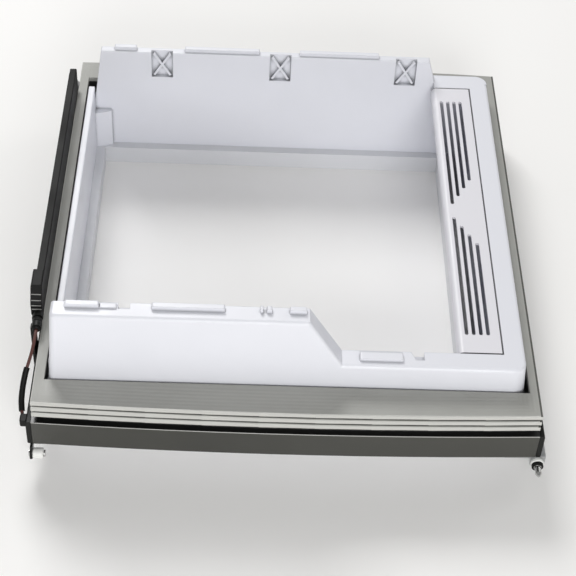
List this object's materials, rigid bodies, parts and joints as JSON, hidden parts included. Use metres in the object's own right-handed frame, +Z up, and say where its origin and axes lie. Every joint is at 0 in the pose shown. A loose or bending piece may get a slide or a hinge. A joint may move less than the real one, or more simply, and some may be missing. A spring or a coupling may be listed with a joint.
{
  "type": "refrigerator door inner frame",
  "caption": "Inner frame of a refrigerator door with stepped liner walls round a through opening, pleated magnetic seal, slotted air duct cover and a sprung flip bar.",
  "frame": {"origin": "middle of the part's box on the surface that the collar rim lies on", "axes": "+Z up through the opening towards the sealing side, +Y along the leaf to the end with the upper hinge bush, +X towards the hinge side"},
  "size_m": [0.4704, 0.5006, 0.1702],
  "materials": {
    "liner_white": "semi gloss, clean",
    "cover_white": "semi gloss, clean",
    "front_white": "semi gloss, clean",
    "foam": "open cut foam",
    "cap_grey": "satin, warm dark grey",
    "panel_black": "satin black",
    "seal_grey": "matt, soft",
    "magnet": "matt",
    "bar_black": "satin",
    "plate_black": "satin",
    "heater_foil": "foil",
    "bracket_black": "satin black",
    "bracket_zinc": "zinc plated",
    "lead_wire": "matt, reddish brown insulation",
    "sleeve_black": "matt",
    "bush_white": "moulded, low sheen",
    "steel": "bright plated"
  },
  "bodies": {
    "frame": {"bracket_screws": "steel", "door_gasket": "seal_grey", "duct_vent_cover": "cover_white", "far_cap_screws": "steel", "far_end_cap": "cap_grey", "front_frame": "front_white", "hinge_cam_collar": "bar_black", "hinge_pin": "steel", "hinge_screws": "steel", "inner_liner": "liner_white", "insulation_foam": "foam", "lead_grommet": "bar_black", "lead_plug": "bar_black", "lead_sleeve": "sleeve_black", "left_side_panel": "panel_black", "lower_hinge_bracket": "bracket_zinc", "lower_hinge_bush": "bush_white", "mullion_far_bracket": "bracket_zinc", "mullion_far_pin": "steel", "mullion_lead": "lead_wire", "mullion_near_bracket": "bracket_black", "mullion_near_pin": "steel", "mullion_spring": "steel", "near_cap_screws": "steel", "near_end_cap": "cap_grey", "right_side_panel": "panel_black", "roller_axle": "steel", "roller_bracket": "bracket_black", "roller_screws": "steel", "seal_magnet_far": "magnet", "seal_magnet_left": "magnet", "seal_magnet_near": "magnet", "seal_magnet_right": "magnet", "upper_hinge_bracket": "bracket_zinc", "upper_hinge_bush": "bush_white"},
    "mullion": {"mullion_cover": "bar_black", "mullion_face_plate": "plate_black", "mullion_heater": "heater_foil", "mullion_insulation": "foam", "mullion_far_cap": "bar_black", "mullion_hinge_housing": "bar_black"},
    "roller": {"support_roller": "bush_white"}
  },
  "joints": [
    {"name": "mullion_fold", "type": "hinge", "parent": "frame", "child": "mullion", "pos_m": [-0.22475, 0.0038, 0.0985], "axis": [0, -1, 0], "range_deg": [0, 90], "stiffness_Nm_per_rad": 0.03, "springref_deg": -45.84},
    {"name": "roller_spin", "type": "hinge", "parent": "frame", "child": "roller", "pos_m": [-0.21905, -0.2397, 0.0235], "axis": [1, 0, 0], "continuous": true}
  ]
}
